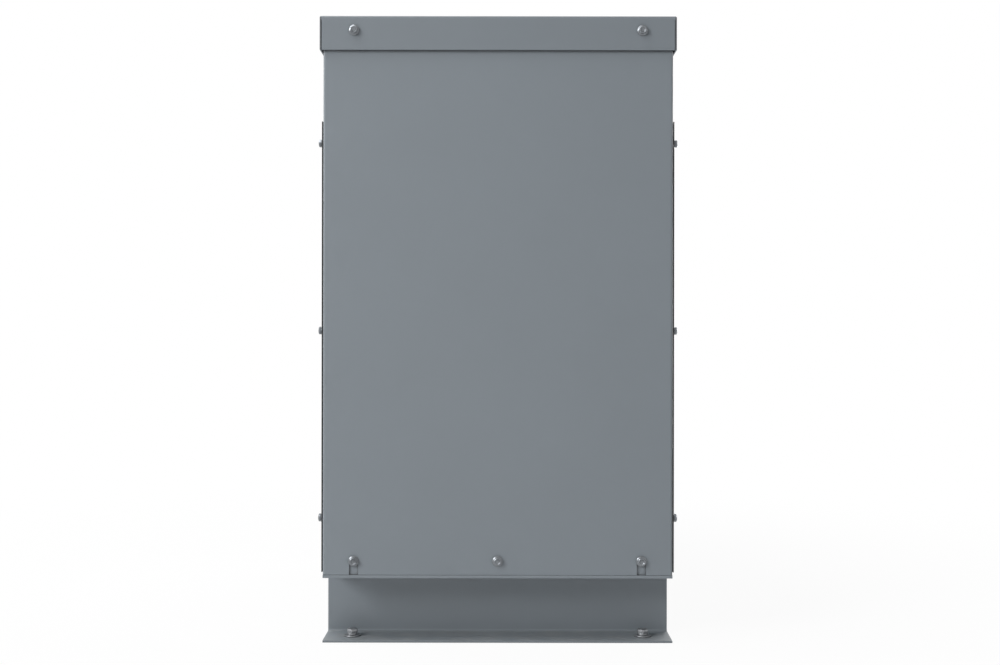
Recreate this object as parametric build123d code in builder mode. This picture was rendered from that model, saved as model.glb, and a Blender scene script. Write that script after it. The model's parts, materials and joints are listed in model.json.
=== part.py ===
from build123d import *

import os

# Three-phase dry-type power transformer in a ventilated sheet-steel housing.
# The origin is on the floor at the centre of the footprint. The plain end panel
# faces -Y, the louvred covers face -X and +X, and +Z is up. Sizes are millimetres.

# Housing
BODY_WIDTH = 508.0
BODY_DEPTH = 711.0
OVERALL_HEIGHT = 909.0
SHEET = 2.0
BEND_RADIUS = 3.0

# Base: two folded rails with the feet turned outwards, and a floor plate on them
BASE_HEIGHT = 93.6
RAIL_SHEET = 3.0
RAIL_BEND = 6.0
RAIL_SETBACK = 60.0
RAIL_TOP_FLANGE = 56.0
ANCHOR_SIDE_INSET = 40.0
ANCHOR_INSET = 29.0
ANCHOR_HOLE = 14.0
FLOOR_PLATE = 4.4
FLOOR_LEDGE = 2.0
FLOOR_SIDE_BORDER = 62.0
FLOOR_CORNER = 12.0
UPSTAND_HEIGHT = 42.0
UPSTAND_SHEET = 3.0

# End panels, folded round the housing corners
PANEL_GAP = 0.4
RETURN_DEPTH = 60.0
TOP_FLANGE = 25.0
FOLD_RELIEF = 1.5
FOLD_EASE = 0.4
FACE_SCREW_INSET = 45.0
FACE_SCREW_HEIGHT = 20.3
FACE_SLOT_WIDTH = 13.0
SCREW_HOLE = 7.0

# Hood over the top
HOOD_OVERHANG = 4.6
HOOD_LIP = 49.5
HOOD_SCREW_DROP = 21.0
HOOD_SEAM = 0.8

# Louvred side covers, their seals, and the bands that they close against
COVER_SHEET = 1.5
SEAL_THICKNESS = 2.5
SEAL_WIDTH = 22.0
SEAL_INSET = 1.5
COVER_EDGE_INSET = 15.0
COVER_FOOT_GAP = 1.5
COVER_TOP_DROP = 150.0
COVER_LAP = 28.0
COVER_SCREW_INSET = 12.0
COVER_SCREW_TOP = 30.5
COVER_SCREW_BOTTOM = 78.0
COVER_SCREWS = 3
BAND_FLANGE = 25.0
BAND_LAP = 20.0
SEAM = 0.3

# Louvres, lanced and pressed inwards so that the covers stay flush outside
LOUVRE_SLOT = 18.0
LOUVRE_ANGLE = 45.0
LOUVRE_COLUMNS = 2
LOUVRE_COLUMN_GAP = 28.0
LOUVRE_SIDE_MARGIN = 33.0
LOUVRE_ROWS = 6
LOUVRE_ROW_PITCH = 34.0
LOUVRE_FIELD_MARGIN = 34.0

# Core and coils
CORE_STACK = 110.0
WINDOW_HEIGHT = 320.0
COIL_END_CLEARANCE = 76.5
COIL_GAP = 12.0
COIL_CLEARANCE = 5.0
INNER_COIL = 14.0
COIL_DUCT = 8.0
OUTER_COIL = 17.0
COIL_CORNER = 6.0
COIL_BLOCK_HEIGHT = 15.0
COIL_BLOCK_LENGTH = 60.0
CLAMP_SHEET = 5.0
CLAMP_BEND = 7.5
CLAMP_FLANGE = 43.0
YOKE_LIFT = 2.0
PAD_HEIGHT = 20.0
PAD_LENGTH = 50.0
TIE_ROD = 12.0
TIE_ROD_GAP = 11.0
TIE_ROD_INSET = 14.0

# Terminals: bars from the inner coils to a board on the right, tap boards on the left
BAR_THICKNESS = 6.0
BAR_WIDTH = 32.0
BAR_SIDE_GAP = 4.0
BAR_CLEARANCE = 8.0
BAR_BEND = 9.0
BOARD_THICKNESS = 10.0
BOARD_HEIGHT = 70.0
BOARD_LIFT = 19.0
BOARD_MARGIN = 34.0
BOARD_CORNER = 10.0
BRACKET_SHEET = 4.0
BRACKET_BEND = 6.0
BRACKET_WIDTH = 40.0
BRACKET_SPACING = 190.0
TAP_BOARD_THICKNESS = 8.0
TAP_BOARD_WIDTH = 56.0
TAP_BOARD_HEIGHT = 170.0

# Sizes that follow from those above: the housing
FLOOR_TOP = BASE_HEIGHT + FLOOR_PLATE
FLOOR_END_BORDER = RAIL_SETBACK + RAIL_TOP_FLANGE + FLOOR_LEDGE
PANEL_BOTTOM = FLOOR_TOP + PANEL_GAP
BODY_TOP = OVERALL_HEIGHT - SHEET
HOOD_BOTTOM = OVERALL_HEIGHT - HOOD_LIP
HOOD_SCREW_Z = OVERALL_HEIGHT - HOOD_SCREW_DROP
ANCHOR_X = BODY_WIDTH / 2 - ANCHOR_SIDE_INSET
FACE_SCREW_X = BODY_WIDTH / 2 - FACE_SCREW_INSET
FACE_SCREW_Z = FLOOR_TOP + FACE_SCREW_HEIGHT
COVER_BOTTOM = FLOOR_TOP + COVER_FOOT_GAP
COVER_TOP = OVERALL_HEIGHT - COVER_TOP_DROP
COVER_HEIGHT = COVER_TOP - COVER_BOTTOM
COVER_WIDTH = BODY_DEPTH - 2 * COVER_EDGE_INSET
COVER_MIDDLE = (COVER_BOTTOM + COVER_TOP) / 2
COVER_SCREW_Y = COVER_WIDTH / 2 - COVER_SCREW_INSET
COVER_SCREW_PITCH = (COVER_HEIGHT - COVER_SCREW_TOP - COVER_SCREW_BOTTOM) / (COVER_SCREWS - 1)
HEADER_BOTTOM = COVER_TOP - COVER_LAP
SILL_TOP = COVER_BOTTOM + COVER_LAP
BAND_LENGTH = BODY_DEPTH - 2 * RETURN_DEPTH - 2 * SEAM
LOUVRE_COLUMN_WIDTH = (BAND_LENGTH - 2 * LOUVRE_SIDE_MARGIN + LOUVRE_COLUMN_GAP) / LOUVRE_COLUMNS
LOUVRE_LENGTH = LOUVRE_COLUMN_WIDTH - LOUVRE_COLUMN_GAP

# Sizes that follow from those above: the core and coils fill the length between the end panels
COIL_BUILD = COIL_CLEARANCE + INNER_COIL + COIL_DUCT + OUTER_COIL
LEG_PITCH = (BODY_DEPTH - 2 * COIL_END_CLEARANCE + COIL_GAP) / 3
LEG_WIDTH = LEG_PITCH - COIL_GAP - 2 * COIL_BUILD
CORE_LENGTH = 2 * LEG_PITCH + LEG_WIDTH
CLAMP_BOTTOM = FLOOR_TOP + PAD_HEIGHT
YOKE_BOTTOM = CLAMP_BOTTOM + YOKE_LIFT
WINDOW_BOTTOM = YOKE_BOTTOM + LEG_WIDTH
WINDOW_TOP = WINDOW_BOTTOM + WINDOW_HEIGHT
CORE_MIDDLE = (WINDOW_BOTTOM + WINDOW_TOP) / 2
CORE_TOP = WINDOW_TOP + LEG_WIDTH
CLAMP_HEIGHT = LEG_WIDTH + YOKE_LIFT
CLAMP_TOP = WINDOW_TOP + CLAMP_HEIGHT
CLAMP_FLANGE_X = CORE_STACK / 2 + CLAMP_SHEET + (CLAMP_FLANGE - CLAMP_SHEET) / 2
CLAMP_TOE_X = CORE_STACK / 2 + CLAMP_FLANGE
TIE_ROD_Y = BODY_DEPTH / 2 - COIL_END_CLEARANCE + TIE_ROD_GAP + TIE_ROD / 2
CLAMP_LENGTH = 2 * (TIE_ROD_Y + TIE_ROD_INSET)
PAD_Y = BODY_DEPTH / 2 - RAIL_SETBACK - RAIL_TOP_FLANGE / 2
COIL_BOTTOM = WINDOW_BOTTOM + COIL_BLOCK_HEIGHT
COIL_HEIGHT = WINDOW_HEIGHT - 2 * COIL_BLOCK_HEIGHT
COIL_TOP = COIL_BOTTOM + COIL_HEIGHT
OUTER_COIL_X = CORE_STACK / 2 + COIL_BUILD
BAR_X = max(OUTER_COIL_X, CLAMP_TOE_X) + BAR_CLEARANCE + BAR_THICKNESS / 2
BAR_OFFSET = COIL_BLOCK_LENGTH / 2 + BAR_SIDE_GAP + BAR_WIDTH / 2
BOARD_X = BAR_X - BAR_THICKNESS / 2 - BOARD_THICKNESS
BOARD_TOP = CLAMP_TOP + BOARD_LIFT + BOARD_HEIGHT

SIDES = {"left": -1, "right": 1}
ENDS = {"front": -1, "rear": 1}
PHASES = {"front": -1, "middle": 0, "rear": 1}


def folded_strip(points, thickness, outside_radius):
    """Returns the section of a strip folded along the points of its middle line."""
    with BuildSketch() as strip:
        with BuildLine():
            FilletPolyline(*points, radius=outside_radius - thickness / 2)
        trace(line_width=thickness)
    return strip.sketch


def finish(builder, name):
    """Names a finished piece and writes it to its own file."""
    builder.part.label = name
    export_step(builder.part, f"parts/{name}.step")


os.makedirs("parts", exist_ok=True)

# Front rail: web under the housing, foot turned out, top flange turned in
rail_web_y = -BODY_DEPTH / 2 + RAIL_SETBACK + RAIL_SHEET / 2
rail_points = [
    (-BODY_DEPTH / 2, RAIL_SHEET / 2),
    (rail_web_y, RAIL_SHEET / 2),
    (rail_web_y, BASE_HEIGHT - RAIL_SHEET / 2),
    (rail_web_y + RAIL_TOP_FLANGE - RAIL_SHEET / 2, BASE_HEIGHT - RAIL_SHEET / 2),
]
with BuildPart() as front_rail:
    with BuildSketch(Plane.YZ):
        add(folded_strip(rail_points, RAIL_SHEET, RAIL_BEND))
    extrude(amount=BODY_WIDTH / 2, both=True)
    with Locations(*[(side * ANCHOR_X, ANCHOR_INSET - BODY_DEPTH / 2, RAIL_SHEET) for side in (-1, 1)]):
        Hole(radius=ANCHOR_HOLE / 2, depth=RAIL_SHEET)
finish(front_rail, "front_rail")

with BuildPart() as rear_rail:
    mirror(front_rail.part, about=Plane.XZ)
finish(rear_rail, "rear_rail")

# Floor plate with its opening for air and cables, and the upstands behind the end panels
upstand_y = BODY_DEPTH / 2 - SHEET - UPSTAND_SHEET / 2
with BuildPart() as floor_plate:
    with BuildSketch(Plane.XY.offset(BASE_HEIGHT)):
        Rectangle(BODY_WIDTH, BODY_DEPTH)
        RectangleRounded(
            BODY_WIDTH - 2 * FLOOR_SIDE_BORDER,
            BODY_DEPTH - 2 * FLOOR_END_BORDER,
            FLOOR_CORNER,
            mode=Mode.SUBTRACT,
        )
    extrude(amount=FLOOR_PLATE)
    with BuildSketch(Plane.XY.offset(FLOOR_TOP)):
        with Locations((0, -upstand_y), (0, upstand_y)):
            Rectangle(BODY_WIDTH - 2 * SHEET - 2 * FOLD_RELIEF, UPSTAND_SHEET)
    extrude(amount=UPSTAND_HEIGHT)
finish(floor_plate, "floor_plate")

# Front end panel, folded back round both corners and in under the hood
panel_x = (BODY_WIDTH - SHEET) / 2
panel_y = (BODY_DEPTH - SHEET) / 2
panel_points = [
    (-panel_x, RETURN_DEPTH - BODY_DEPTH / 2),
    (-panel_x, -panel_y),
    (panel_x, -panel_y),
    (panel_x, RETURN_DEPTH - BODY_DEPTH / 2),
]
with BuildPart() as front_panel:
    with BuildSketch(Plane.XY.offset(PANEL_BOTTOM)):
        add(folded_strip(panel_points, SHEET, BEND_RADIUS))
    extrude(amount=BODY_TOP - PANEL_BOTTOM)
    with BuildSketch(Plane.XY.offset(BODY_TOP - SHEET)):
        with Locations((0, -BODY_DEPTH / 2)):
            Rectangle(
                BODY_WIDTH - 2 * SHEET - 2 * FOLD_RELIEF,
                TOP_FLANGE,
                align=(Align.CENTER, Align.MIN),
            )
    extrude(amount=SHEET)
    fillet(
        front_panel.edges().filter_by(Axis.X).group_by(Axis.Z)[-1].sort_by(Axis.Y)[0],
        radius=SHEET - FOLD_EASE,
    )
    with BuildSketch(Plane.XZ.offset(BODY_DEPTH / 2)):
        with Locations((0, FACE_SCREW_Z)):
            Circle(SCREW_HOLE / 2)
        with Locations((-FACE_SCREW_X, FACE_SCREW_Z), (FACE_SCREW_X, FACE_SCREW_Z)):
            Circle(FACE_SLOT_WIDTH / 2)
            Rectangle(FACE_SLOT_WIDTH, FACE_SCREW_Z, align=(Align.CENTER, Align.MAX))
    extrude(amount=-SHEET, mode=Mode.SUBTRACT)
finish(front_panel, "front_panel")

with BuildPart() as rear_panel:
    mirror(front_panel.part, about=Plane.XZ)
finish(rear_panel, "rear_panel")


def side_band(side, bottom, top):
    """Makes a channel that closes a side of the housing between the end panels."""
    x = side * (BODY_WIDTH - SHEET) / 2
    toe = side * (BODY_WIDTH / 2 - BAND_FLANGE)
    section = [(toe, bottom + SHEET / 2), (x, bottom + SHEET / 2), (x, top - SHEET / 2), (toe, top - SHEET / 2)]
    with BuildPart() as band:
        with BuildSketch(Plane.XZ):
            add(folded_strip(section, SHEET, BEND_RADIUS))
        extrude(amount=BAND_LENGTH / 2, both=True)
        # Laps behind the folded edges of both end panels
        with BuildSketch(Plane.YZ.offset(side * (BODY_WIDTH / 2 - SHEET))):
            for end in (-1, 1):
                with Locations((end * BAND_LENGTH / 2, (bottom + top) / 2)):
                    Rectangle(2 * BAND_LAP, top - bottom - 2 * SHEET - 2 * BEND_RADIUS)
        extrude(amount=-side * SHEET)
    return band


for side_name, side in SIDES.items():
    finish(side_band(side, HEADER_BOTTOM, BODY_TOP), f"{side_name}_header")
    finish(side_band(side, FLOOR_TOP, SILL_TOP), f"{side_name}_sill")

# Hood: one folded tray, its lips butting at the corners
with BuildPart() as hood:
    with BuildSketch(Plane.XY.offset(HOOD_BOTTOM)):
        Rectangle(BODY_WIDTH + 2 * HOOD_OVERHANG, BODY_DEPTH + 2 * HOOD_OVERHANG)
    extrude(amount=HOOD_LIP)
    fillet(hood.edges().group_by(Axis.Z)[-1], radius=BEND_RADIUS)
    offset(amount=-SHEET, openings=hood.faces().sort_by(Axis.Z)[0])
    seam_x = BODY_WIDTH / 2 + HOOD_OVERHANG - SHEET - HOOD_SEAM / 2
    with BuildSketch(Plane.XZ):
        for side in (-1, 1):
            with Locations((side * seam_x, HOOD_BOTTOM)):
                Rectangle(HOOD_SEAM, HOOD_LIP - 2 * BEND_RADIUS, align=(Align.CENTER, Align.MIN))
            with Locations((side * FACE_SCREW_X, HOOD_SCREW_Z)):
                Circle(SCREW_HOLE / 2)
    extrude(amount=BODY_DEPTH, both=True, mode=Mode.SUBTRACT)
finish(hood, "hood")

# Seals and covers on both sides
lowest_louvre = SILL_TOP + LOUVRE_FIELD_MARGIN
highest_louvre = HEADER_BOTTOM - LOUVRE_FIELD_MARGIN - LOUVRE_SLOT
louvre_rows = [lowest_louvre + i * LOUVRE_ROW_PITCH for i in range(LOUVRE_ROWS)]
louvre_rows += [highest_louvre - i * LOUVRE_ROW_PITCH for i in range(LOUVRE_ROWS)]
louvre_columns = [(i - (LOUVRE_COLUMNS - 1) / 2) * LOUVRE_COLUMN_WIDTH for i in range(LOUVRE_COLUMNS)]
cover_screws = [
    (end * COVER_SCREW_Y, COVER_BOTTOM + COVER_SCREW_BOTTOM + i * COVER_SCREW_PITCH)
    for end in (-1, 1)
    for i in range(COVER_SCREWS)
]


def cover_seal(side):
    """Makes the flat ring of soft strip under a side cover, which the cover's screws pierce."""
    width = COVER_WIDTH - 2 * SEAL_INSET
    height = COVER_HEIGHT - 2 * SEAL_INSET
    with BuildPart() as seal:
        with BuildSketch(Plane.YZ.offset(side * BODY_WIDTH / 2)):
            with Locations((0, COVER_MIDDLE)):
                Rectangle(width, height)
                Rectangle(width - 2 * SEAL_WIDTH, height - 2 * SEAL_WIDTH, mode=Mode.SUBTRACT)
        extrude(amount=side * SEAL_THICKNESS)
    return seal


def louvre_blade(side, outer_x):
    """Makes one blade, pressed inwards from the lower edge of its slot, with its two end cheeks."""
    knee = Vector(outer_x, COVER_SHEET)
    lip = knee + Vector(0, LOUVRE_SLOT - COVER_SHEET).rotate(Axis.Z, side * LOUVRE_ANGLE)
    inward = Side.LEFT if side > 0 else Side.RIGHT
    with BuildPart() as blade:
        with BuildSketch(Plane.XZ):
            with BuildLine():
                Polyline((outer_x, 0), knee, lip)
                offset(amount=COVER_SHEET, side=inward, kind=Kind.INTERSECTION)
            make_face()
        extrude(amount=LOUVRE_LENGTH / 2, both=True)
        for end in (-1, 1):
            with BuildSketch(Plane.XZ.offset(end * (LOUVRE_LENGTH - COVER_SHEET) / 2)):
                with BuildLine():
                    Polyline((outer_x, 0), knee, lip, (outer_x, lip.Y), close=True)
                make_face()
            extrude(amount=COVER_SHEET / 2, both=True)
    return blade.part


def side_cover(side):
    """Makes a screwed-on side cover with its two fields of louvres."""
    inner_x = side * (BODY_WIDTH / 2 + SEAL_THICKNESS)
    slots = [(y, z) for y in louvre_columns for z in louvre_rows]
    blade = louvre_blade(side, inner_x + side * COVER_SHEET)
    with BuildPart() as cover:
        with BuildSketch(Plane.YZ.offset(inner_x)):
            with Locations((0, COVER_MIDDLE)):
                Rectangle(COVER_WIDTH, COVER_HEIGHT)
            with Locations(*cover_screws):
                Circle(SCREW_HOLE / 2, mode=Mode.SUBTRACT)
            with Locations(*slots):
                Rectangle(LOUVRE_LENGTH, LOUVRE_SLOT, align=(Align.CENTER, Align.MIN), mode=Mode.SUBTRACT)
        extrude(amount=side * COVER_SHEET)
        with Locations(*[(0, y, z) for y, z in slots]):
            add(blade)
    return cover


for side_name, side in SIDES.items():
    finish(cover_seal(side), f"{side_name}_seal")
    finish(side_cover(side), f"{side_name}_cover")

# Core: two yokes and three legs, mitred where they meet
core_half = CORE_LENGTH / 2
inner_half = core_half - LEG_WIDTH
lower_yoke_points = [
    (-core_half, YOKE_BOTTOM),
    (core_half, YOKE_BOTTOM),
    (inner_half, WINDOW_BOTTOM),
    (LEG_WIDTH / 2, WINDOW_BOTTOM),
    (0, WINDOW_BOTTOM - LEG_WIDTH / 2),
    (-LEG_WIDTH / 2, WINDOW_BOTTOM),
    (-inner_half, WINDOW_BOTTOM),
]
with BuildPart() as lower_yoke:
    with BuildSketch(Plane.YZ):
        with BuildLine():
            Polyline(*lower_yoke_points, close=True)
        make_face()
    extrude(amount=CORE_STACK / 2, both=True)
finish(lower_yoke, "lower_yoke")

with BuildPart() as upper_yoke:
    mirror(lower_yoke.part, about=Plane.XY.offset(CORE_MIDDLE))
finish(upper_yoke, "upper_yoke")

for phase_name, phase in PHASES.items():
    leg_points = [
        (phase * core_half, YOKE_BOTTOM),
        (phase * core_half, CORE_TOP),
        (phase * inner_half, WINDOW_TOP),
        (phase * inner_half, WINDOW_BOTTOM),
    ]
    if phase == 0:
        leg_points = [
            (0, WINDOW_BOTTOM - LEG_WIDTH / 2),
            (LEG_WIDTH / 2, WINDOW_BOTTOM),
            (LEG_WIDTH / 2, WINDOW_TOP),
            (0, WINDOW_TOP + LEG_WIDTH / 2),
            (-LEG_WIDTH / 2, WINDOW_TOP),
            (-LEG_WIDTH / 2, WINDOW_BOTTOM),
        ]
    with BuildPart() as leg:
        with BuildSketch(Plane.YZ):
            with BuildLine():
                Polyline(*leg_points, close=True)
            make_face()
        extrude(amount=CORE_STACK / 2, both=True)
    finish(leg, f"{phase_name}_core_leg")


def winding(phase, inner_gap, thickness):
    """Makes one winding as a rounded tube round its leg."""
    bore = (CORE_STACK + 2 * inner_gap, LEG_WIDTH + 2 * inner_gap)
    corner = COIL_CORNER + inner_gap - COIL_CLEARANCE
    with BuildPart() as coil:
        with BuildSketch(Plane.XY.offset(COIL_BOTTOM)):
            with Locations((0, phase * LEG_PITCH)):
                RectangleRounded(bore[0] + 2 * thickness, bore[1] + 2 * thickness, corner + thickness)
                RectangleRounded(*bore, corner, mode=Mode.SUBTRACT)
        extrude(amount=COIL_HEIGHT)
    return coil


for phase_name, phase in PHASES.items():
    finish(winding(phase, COIL_CLEARANCE, INNER_COIL), f"{phase_name}_inner_coil")
    finish(winding(phase, COIL_BUILD - OUTER_COIL, OUTER_COIL), f"{phase_name}_outer_coil")

# Clamps along both yokes, and the rods that draw them together


def core_clamp(side, bottom):
    """Makes a channel that grips one side of a yoke, its flanges turned outwards."""
    toe = side * CLAMP_TOE_X
    web = side * (CORE_STACK + CLAMP_SHEET) / 2
    low = bottom + CLAMP_SHEET / 2
    high = bottom + CLAMP_HEIGHT - CLAMP_SHEET / 2
    with BuildPart() as clamp:
        with BuildSketch(Plane.XZ):
            add(folded_strip([(toe, low), (web, low), (web, high), (toe, high)], CLAMP_SHEET, CLAMP_BEND))
        extrude(amount=CLAMP_LENGTH / 2, both=True)
    return clamp


for side_name, side in SIDES.items():
    finish(core_clamp(side, CLAMP_BOTTOM), f"lower_{side_name}_clamp")
    finish(core_clamp(side, WINDOW_TOP), f"upper_{side_name}_clamp")

for end_name, end in ENDS.items():
    for side_name, side in SIDES.items():
        with BuildPart() as tie_rod:
            with BuildSketch(Plane.XY.offset(WINDOW_BOTTOM)):
                with Locations((side * CLAMP_FLANGE_X, end * TIE_ROD_Y)):
                    Circle(TIE_ROD / 2)
            extrude(amount=WINDOW_HEIGHT)
        finish(tie_rod, f"{end_name}_{side_name}_tie_rod")

        with BuildPart() as pad:
            with BuildSketch(Plane.XY.offset(FLOOR_TOP)):
                with Locations((side * CLAMP_FLANGE_X, end * PAD_Y)):
                    Rectangle(CLAMP_FLANGE - CLAMP_SHEET, PAD_LENGTH)
            extrude(amount=PAD_HEIGHT)
        finish(pad, f"{end_name}_{side_name}_pad")


def coil_blocks(bottom):
    """Makes the insulating blocks that hold the coils off the clamps, above or below."""
    places = [(side * CLAMP_FLANGE_X, phase * LEG_PITCH) for side in (-1, 1) for phase in (-1, 0, 1)]
    with BuildPart() as blocks:
        with BuildSketch(Plane.XY.offset(bottom)):
            with Locations(*places):
                Rectangle(CLAMP_FLANGE - CLAMP_SHEET, COIL_BLOCK_LENGTH)
        extrude(amount=COIL_BLOCK_HEIGHT)
    return blocks


finish(coil_blocks(WINDOW_BOTTOM), "lower_coil_blocks")
finish(coil_blocks(WINDOW_TOP - COIL_BLOCK_HEIGHT), "upper_coil_blocks")

# Terminal bars: each lies on its inner coil, turns up clear of the clamp and is bolted to the board
bar_points = [
    (CORE_STACK / 2 + COIL_CLEARANCE, COIL_TOP + BAR_THICKNESS / 2),
    (BAR_X, COIL_TOP + BAR_THICKNESS / 2),
    (BAR_X, BOARD_TOP),
]
for phase_name, phase in PHASES.items():
    with BuildPart() as bar:
        with BuildSketch(Plane.XZ.offset(-phase * LEG_PITCH - BAR_OFFSET)):
            add(folded_strip(bar_points, BAR_THICKNESS, BAR_BEND))
        extrude(amount=BAR_WIDTH / 2, both=True)
    finish(bar, f"{phase_name}_terminal_bar")

# Terminal board behind the bars, on two brackets that stand on the upper right clamp
with BuildPart() as terminal_board:
    with BuildSketch(Plane.YZ.offset(BOARD_X)):
        with Locations((BAR_OFFSET, BOARD_TOP)):
            Rectangle(
                2 * LEG_PITCH + BAR_WIDTH + 2 * BOARD_MARGIN,
                BOARD_HEIGHT,
                align=(Align.CENTER, Align.MAX),
            )
    extrude(amount=BOARD_THICKNESS)
    chamfer(terminal_board.edges().filter_by(Axis.X), length=BOARD_CORNER)
finish(terminal_board, "terminal_board")

bracket_x = BOARD_X - BRACKET_SHEET / 2
bracket_points = [
    (CORE_STACK / 2 + CLAMP_SHEET, CLAMP_TOP + BRACKET_SHEET / 2),
    (bracket_x, CLAMP_TOP + BRACKET_SHEET / 2),
    (bracket_x, BOARD_TOP),
]
with BuildPart() as board_brackets:
    for place in (-BRACKET_SPACING / 2, BRACKET_SPACING / 2):
        with BuildSketch(Plane.XZ.offset(-BAR_OFFSET - place)):
            add(folded_strip(bracket_points, BRACKET_SHEET, BRACKET_BEND))
        extrude(amount=BRACKET_WIDTH / 2, both=True)
finish(board_brackets, "board_brackets")

# Tap boards on the outer coils, facing left
with BuildPart() as tap_boards:
    with BuildSketch(Plane.YZ.offset(-OUTER_COIL_X)):
        with Locations(*[(phase * LEG_PITCH, CORE_MIDDLE) for phase in PHASES.values()]):
            Rectangle(TAP_BOARD_WIDTH, TAP_BOARD_HEIGHT)
    extrude(amount=-TAP_BOARD_THICKNESS)
    chamfer(tap_boards.edges().filter_by(Axis.X), length=BOARD_CORNER)
finish(tap_boards, "tap_boards")
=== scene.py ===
"""Looks of a floor-standing dry-type power transformer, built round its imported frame.

The frame holds the sheet metal, the core, the coils and the terminals. This script adds what fastens
them, gives every node and piece a procedural finish, and sets up the floor, the light and the camera.
Lengths are metres, and the frame's own directions are used throughout: the plain end panel faces -Y,
the louvred covers face -X and +X, and +Z is up.
"""

from __future__ import annotations

import json
import logging
import math
from abc import ABC, abstractmethod
from contextlib import contextmanager
from dataclasses import dataclass, field
from enum import Enum
from functools import cache
from itertools import product
from typing import Any, Iterator, Protocol, Sequence

import bmesh
import bpy
from mathutils import Matrix, Vector

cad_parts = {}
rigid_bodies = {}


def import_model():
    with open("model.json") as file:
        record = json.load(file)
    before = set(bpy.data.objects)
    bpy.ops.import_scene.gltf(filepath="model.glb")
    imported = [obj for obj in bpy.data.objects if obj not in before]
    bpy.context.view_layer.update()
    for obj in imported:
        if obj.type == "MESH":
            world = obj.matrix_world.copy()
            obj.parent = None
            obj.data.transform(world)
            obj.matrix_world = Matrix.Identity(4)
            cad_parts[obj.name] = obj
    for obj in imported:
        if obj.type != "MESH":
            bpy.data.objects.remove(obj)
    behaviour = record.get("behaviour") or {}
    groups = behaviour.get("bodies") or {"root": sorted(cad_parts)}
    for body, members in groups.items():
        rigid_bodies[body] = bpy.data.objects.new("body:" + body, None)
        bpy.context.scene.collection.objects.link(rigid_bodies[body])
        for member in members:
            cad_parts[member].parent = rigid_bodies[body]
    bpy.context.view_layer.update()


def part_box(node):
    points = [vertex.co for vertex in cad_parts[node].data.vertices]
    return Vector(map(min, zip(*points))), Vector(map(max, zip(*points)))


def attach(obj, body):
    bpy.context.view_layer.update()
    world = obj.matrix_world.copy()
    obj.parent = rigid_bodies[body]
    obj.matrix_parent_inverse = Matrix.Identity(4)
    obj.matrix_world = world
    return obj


Colour = tuple[float, float, float]
Place = tuple[float, float, float]
Span = tuple[float, float]
Material = bpy.types.Material
Object = bpy.types.Object
Node = bpy.types.Node
Tree = bpy.types.NodeTree
Socket = bpy.types.NodeSocket
log = logging.getLogger("transformer")

MM = 0.001
GOLDEN_TURN = math.radians(137.508)
SMOOTH_ANGLE = math.radians(32)
BEVEL_ANGLE = math.radians(40)
MERGE_DISTANCE = 0.002 * MM
HEX_ANGLE = math.pi / 6
# Shares of a hexagon head's radii: its blank past the corners, and the rim and floor of its dish
CORNER_REACH = 1.02
DISH_RIM = 0.95
DISH_FLOOR = 0.6
WHITE = (1.0, 1.0, 1.0)
MASTER = "fastener_master"
ENDS = ("front", "rear")
PHASES = ("front", "middle", "rear")
SIDES = ("left", "right")
LEVELS = ("lower", "upper")


class Facing(Enum):
    """The way that a fastener's head points."""

    FRONT = (0, -1, 0)
    REAR = (0, 1, 0)
    LEFT = (-1, 0, 0)
    RIGHT = (1, 0, 0)
    UP = (0, 0, 1)
    DOWN = (0, 0, -1)

    def turn(self) -> Matrix:
        """Returns the rotation that points a fastener modelled along +Z this way."""
        return Vector(self.value).to_track_quat("Z", "Y").to_matrix().to_4x4()


class Pick(Enum):
    """What edit mode selects."""

    VERTS = "VERT"
    EDGES = "EDGE"
    FACES = "FACE"


# Modelling


def choose(*objects: Object) -> None:
    """Selects these objects alone and makes the first one active.

    Args:
        objects: The objects to select; none deselects everything.
    """
    bpy.ops.object.select_all(action="DESELECT")
    for obj in objects:
        obj.select_set(True)
    if objects:
        bpy.context.view_layer.objects.active = objects[0]


@contextmanager
def editing(obj: Object, pick: Pick = Pick.FACES) -> Iterator[None]:
    """Opens an object in edit mode with everything selected, and closes it afterwards.

    Args:
        obj: The mesh object to edit.
        pick: What the selection is made of.
    """
    choose(obj)
    bpy.ops.object.mode_set(mode="EDIT")
    bpy.ops.mesh.select_mode(type=pick.value)
    bpy.ops.mesh.select_all(action="SELECT")
    yield
    bpy.ops.object.mode_set(mode="OBJECT")


def fresh(name: str) -> Object:
    """Names the primitive that was just added.

    Args:
        name: The new name of the object and its mesh.

    Returns:
        The object.
    """
    obj = bpy.context.active_object
    obj.name = name
    obj.data.name = name
    return obj


def settle(obj: Object) -> None:
    """Moves an object's place into its mesh, so that the object stands at the origin."""
    choose(obj)
    bpy.ops.object.transform_apply(location=True, rotation=True, scale=True)


def close_up(obj: Object) -> None:
    """Merges a mesh's doubles and points its faces outwards.

    Args:
        obj: The mesh object.
    """
    with editing(obj, Pick.VERTS):
        bpy.ops.mesh.remove_doubles(threshold=MERGE_DISTANCE)
        bpy.ops.mesh.normals_make_consistent(inside=False)


def turned(name: str, outline: Sequence[Span], steps: int) -> Object:
    """Turns a solid on a lathe: an outline is drawn point by point and spun round the Z axis.

    Args:
        name: The object's name.
        outline: Points of radius and height, from one end round the outside to the other.
        steps: Facets round the axis.

    Returns:
        The turned object.
    """
    choose()
    bpy.ops.mesh.primitive_plane_add(size=MM)
    obj = fresh(name)
    with editing(obj, Pick.VERTS):
        bpy.ops.mesh.merge(type="CENTER")
        last = Vector((0, 0, 0))
        for count, (radius, height) in enumerate(outline):
            point = Vector((radius, 0, height))
            if count:
                bpy.ops.mesh.extrude_region_move(TRANSFORM_OT_translate={"value": point - last})
            else:
                bpy.ops.transform.translate(value=point)
            last = point
        bpy.ops.mesh.select_all(action="SELECT")
        bpy.ops.mesh.spin(steps=steps, angle=math.tau, center=(0, 0, 0), axis=(0, 0, 1))
    close_up(obj)
    return obj


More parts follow.
